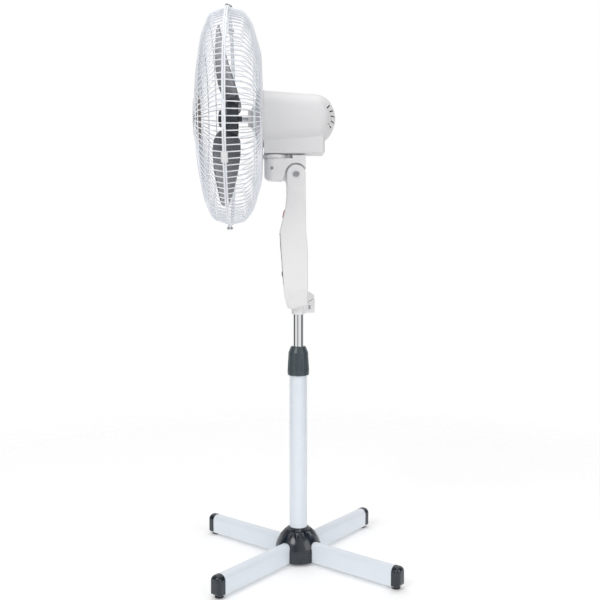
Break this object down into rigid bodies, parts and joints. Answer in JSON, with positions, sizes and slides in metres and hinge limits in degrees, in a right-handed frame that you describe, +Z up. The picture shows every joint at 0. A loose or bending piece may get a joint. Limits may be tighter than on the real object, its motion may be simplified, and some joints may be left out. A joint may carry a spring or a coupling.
{
  "type": "pedestal fan",
  "caption": "Pedestal fan on a cross base, with a telescopic pole, control box, tilting and swinging motor head, wire guard and blade.",
  "frame": {"origin": "on the pole's axis, in the plane of the floor under the feet", "axes": "+Z up along the pole, -Y to the front where the air goes, X along the tilt bolt"},
  "size_m": [0.4328, 0.4081, 1.136],
  "materials": {
    "leg_paint": "satin",
    "white_plastic": "satin moulded plastic",
    "slate_plastic": "glossy",
    "collar_plastic": "satin",
    "black_rubber": "matt",
    "chrome": "polished",
    "zinc_steel": "zinc plated",
    "guard_wire": "powder coated",
    "blade_plastic": "translucent, glossy",
    "hub_plastic": "glossy",
    "badge_plastic": "glossy",
    "badge_back": "matt",
    "red_key": "glossy",
    "panel_dark": "glossy",
    "display": "smoked",
    "board": "solder mask",
    "nylon": "natural nylon",
    "copper": "enamelled wire",
    "lamination": "stamped steel sheets",
    "cast_alloy": "as cast",
    "black_plastic": "matt"
  },
  "bodies": {
    "base": {"cross_leg_lower": "leg_paint", "cross_leg_upper": "leg_paint", "leg_caps": "slate_plastic", "foot_pads": "black_rubber", "hub_cover": "slate_plastic", "outer_pole": "leg_paint", "pole_foot_plug": "nylon", "base_bolt": "zinc_steel", "crossing_sleeve": "zinc_steel", "pole_collet": "nylon"},
    "collar": {"height_collar": "collar_plastic"},
    "column": {"inner_pole": "chrome", "guide_bush": "nylon", "neck_socket": "white_plastic", "clamp_screw": "zinc_steel", "clamp_nut": "zinc_steel", "control_housing": "white_plastic", "control_back_cover": "white_plastic", "back_cover_screws": "zinc_steel", "cord_gland": "black_plastic", "control_fascia": "panel_dark", "display_lens": "display", "circuit_board": "board", "tact_switches": "black_plastic", "run_capacitor": "black_plastic", "tilt_bolt": "zinc_steel", "tilt_nut": "zinc_steel"},
    "power_key": {"power_button": "red_key"},
    "speed_key": {"speed_button": "collar_plastic"},
    "timer_key": {"timer_button": "collar_plastic"},
    "swing_key": {"swing_button": "collar_plastic"},
    "neck": {"tilt_bracket": "white_plastic", "bracket_screws": "zinc_steel", "swivel_bush": "nylon", "swing_gear": "nylon"},
    "pinion": {"swing_pinion": "nylon"},
    "head": {"swivel_plate": "white_plastic", "swivel_pin": "zinc_steel", "swing_motor": "cast_alloy", "bearing_brackets": "cast_alloy", "stator_core": "lamination", "stator_windings": "copper", "motor_front_cover": "white_plastic", "motor_rear_cover": "white_plastic", "rear_guard_wires": "guard_wire", "rear_guard_rings": "guard_wire", "front_guard_wires": "guard_wire", "front_guard_rings": "guard_wire", "guard_nut": "white_plastic", "badge_front": "badge_plastic", "badge_back": "badge_back", "guard_clips": "white_plastic", "guard_hook": "zinc_steel", "rim_lugs": "zinc_steel", "rim_screw": "zinc_steel"},
    "rotor": {"motor_shaft": "zinc_steel", "rotor_core": "lamination", "drive_pin": "zinc_steel", "fan_blade": "blade_plastic", "blade_nut": "hub_plastic"}
  },
  "joints": [
    {"name": "collar_turn", "type": "hinge", "parent": "base", "child": "collar", "pos_m": [0, 0, 0.42], "axis": [0, 0, 1], "range_deg": [0, 270]},
    {"name": "height_slide", "type": "slide", "parent": "base", "child": "column", "axis": [0, 0, 1], "range_m": [-0.055, 0.13]},
    {"name": "power_press", "type": "slide", "parent": "column", "child": "power_key", "axis": [0, 0.9734, -0.229], "range_m": [0, 0.0012], "stiffness_N_per_m": 600, "springref_m": -0.0006},
    {"name": "speed_press", "type": "slide", "parent": "column", "child": "speed_key", "axis": [0, 0.9976, 0.0693], "range_m": [0, 0.0012], "stiffness_N_per_m": 600, "springref_m": -0.0006},
    {"name": "timer_press", "type": "slide", "parent": "column", "child": "timer_key", "axis": [0, 0.9976, 0.0693], "range_m": [0, 0.0012], "stiffness_N_per_m": 600, "springref_m": -0.0006},
    {"name": "swing_press", "type": "slide", "parent": "column", "child": "swing_key", "axis": [0, 0.9976, 0.0693], "range_m": [0, 0.0012], "stiffness_N_per_m": 600, "springref_m": -0.0006},
    {"name": "head_tilt", "type": "hinge", "parent": "column", "child": "neck", "pos_m": [0, -0.005, 0.8], "axis": [-1, 0, 0], "range_deg": [-15, 30]},
    {"name": "head_swing", "type": "hinge", "parent": "neck", "child": "head", "pos_m": [0, -0.047, 0.84], "axis": [0, 0, 1], "range_deg": [-40, 40]},
    {"name": "pinion_turn", "type": "hinge", "parent": "head", "child": "pinion", "pos_m": [0, -0.021, 0.84], "axis": [0, 0, 1], "range_deg": [-134, 134]},
    {"name": "blade_spin", "type": "hinge", "parent": "head", "child": "rotor", "pos_m": [0, 0, 0.912], "axis": [0, 1, 0], "continuous": true}
  ],
  "couplings": [
    {"joint": "pinion_turn", "follows": "head_swing", "ratio": 3.3333}
  ]
}
